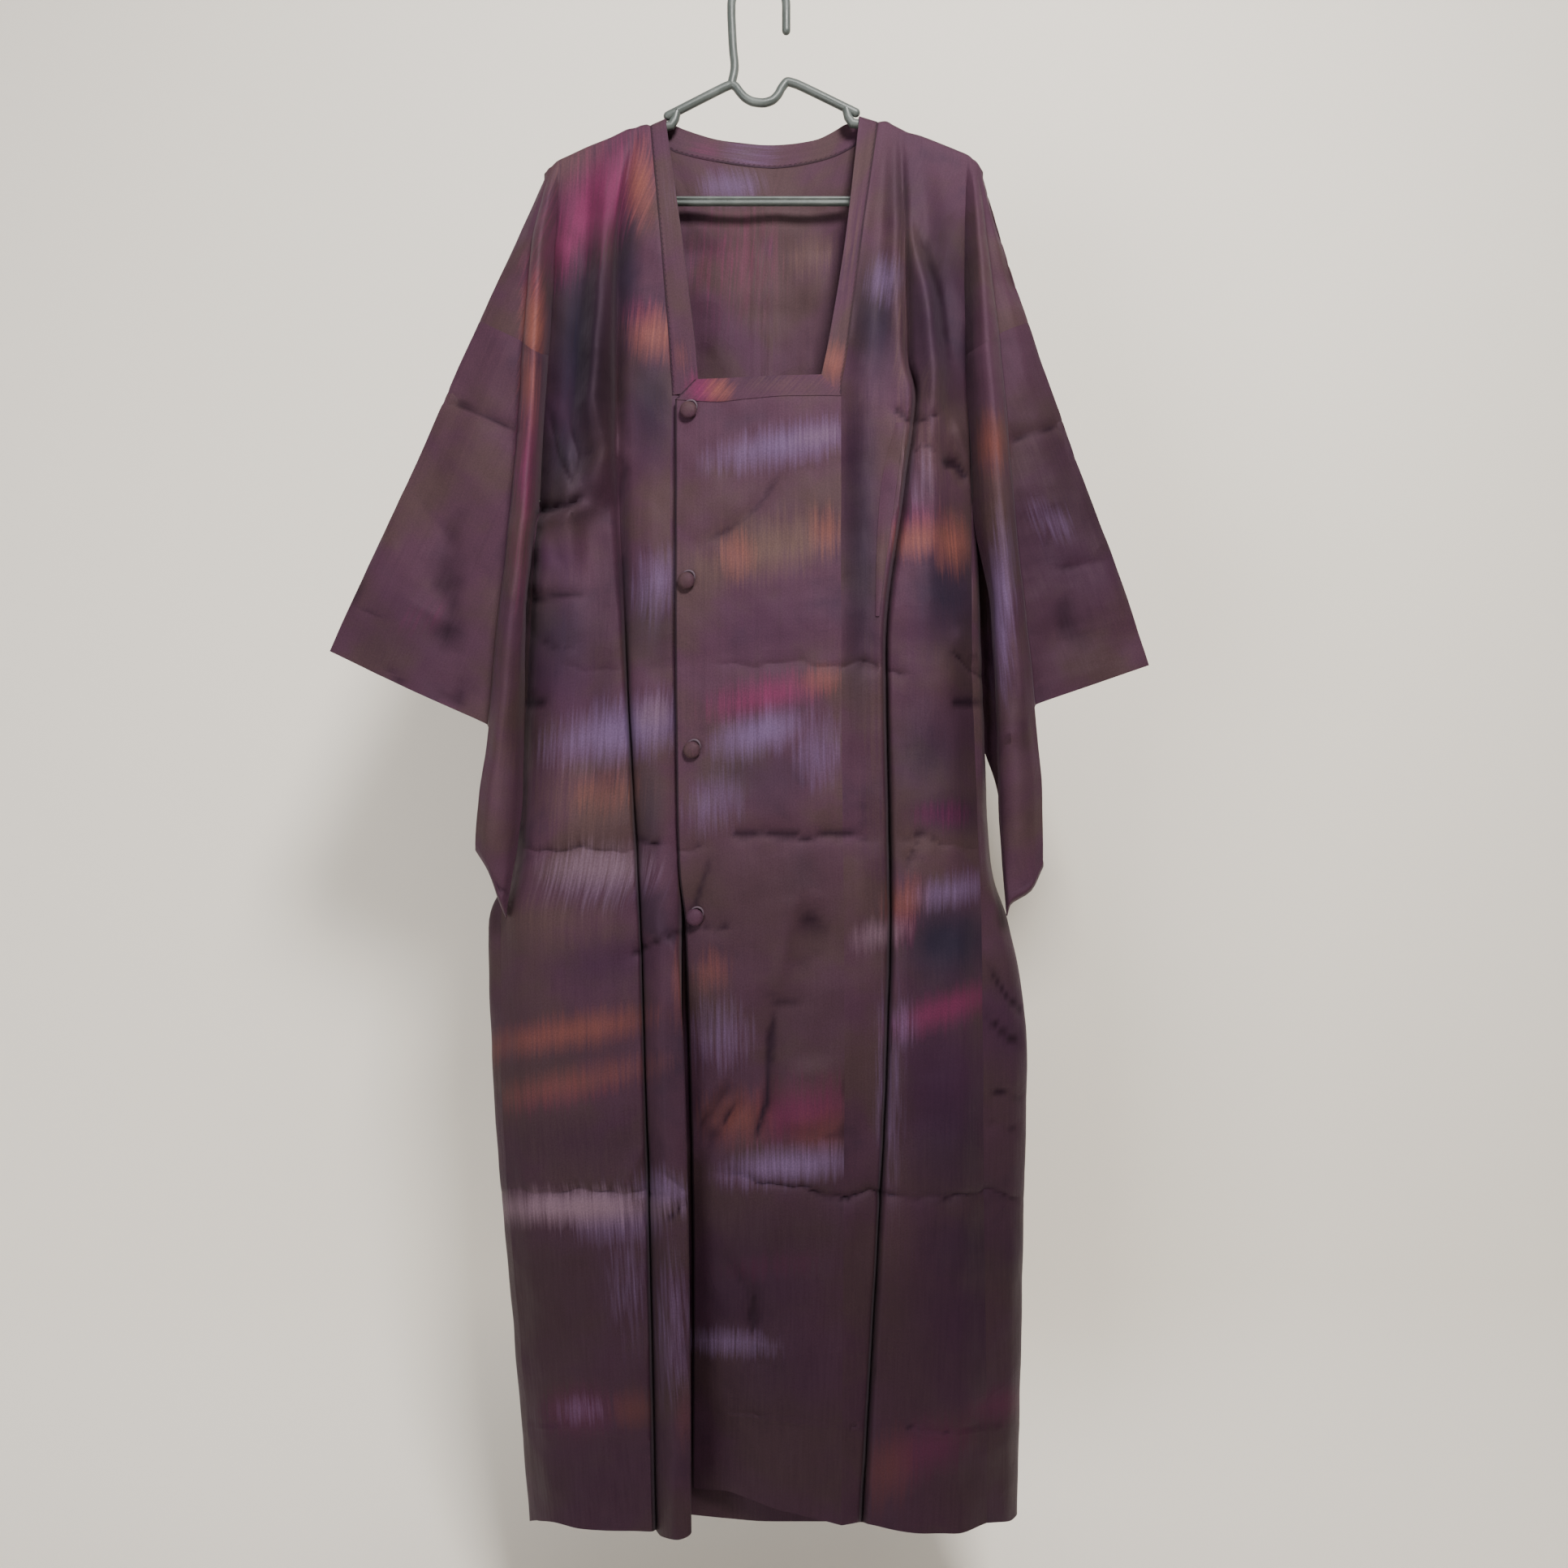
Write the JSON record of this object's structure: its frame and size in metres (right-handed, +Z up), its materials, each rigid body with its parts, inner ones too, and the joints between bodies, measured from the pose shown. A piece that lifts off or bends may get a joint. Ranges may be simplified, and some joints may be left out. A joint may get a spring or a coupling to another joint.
{
  "type": "michiyuki coat on a clothes hanger",
  "caption": "Hanging kimono overcoat with a square neck, buttoned overlap and open sleeves, on a plain plastic clothes hanger.",
  "frame": {"origin": "inside top of the hanger's hook, where it hangs on its support", "axes": "+Z up, the coat's front faces -Y, the wearer's left is at +X"},
  "size_m": [0.748, 0.0918, 1.4159],
  "materials": {
    "body_left": "soft silk sheen, space-dyed",
    "body_right": "soft silk sheen, space-dyed",
    "gore_left": "soft silk sheen, space-dyed",
    "gore_right": "soft silk sheen, space-dyed",
    "neckband": "soft silk sheen, space-dyed",
    "neckband_front": "soft silk sheen, space-dyed",
    "overlap_left": "soft silk sheen, space-dyed",
    "overlap_right": "soft silk sheen, space-dyed",
    "pocket_band": "soft silk sheen, space-dyed",
    "sleeve_left": "soft silk sheen, space-dyed",
    "sleeve_right": "soft silk sheen, space-dyed",
    "button_1": "soft silk sheen, space-dyed",
    "button_2": "soft silk sheen, space-dyed",
    "button_3": "soft silk sheen, space-dyed",
    "button_4": "soft silk sheen, space-dyed",
    "hanger_bar": "satin grey-green plastic",
    "hanger_frame": "satin grey-green plastic",
    "hanger_hook": "satin grey-green plastic"
  },
  "bodies": {
    "root": {"body_left": "body_left", "body_right": "body_right", "gore_left": "gore_left", "gore_right": "gore_right", "neckband": "neckband", "neckband_front": "neckband_front", "overlap_left": "overlap_left", "overlap_right": "overlap_right", "pocket_band": "pocket_band", "sleeve_left": "sleeve_left", "sleeve_right": "sleeve_right", "button_1": "button_1", "button_2": "button_2", "button_3": "button_3", "button_4": "button_4", "hanger_bar": "hanger_bar", "hanger_frame": "hanger_frame", "hanger_hook": "hanger_hook"}
  },
  "joints": []
}
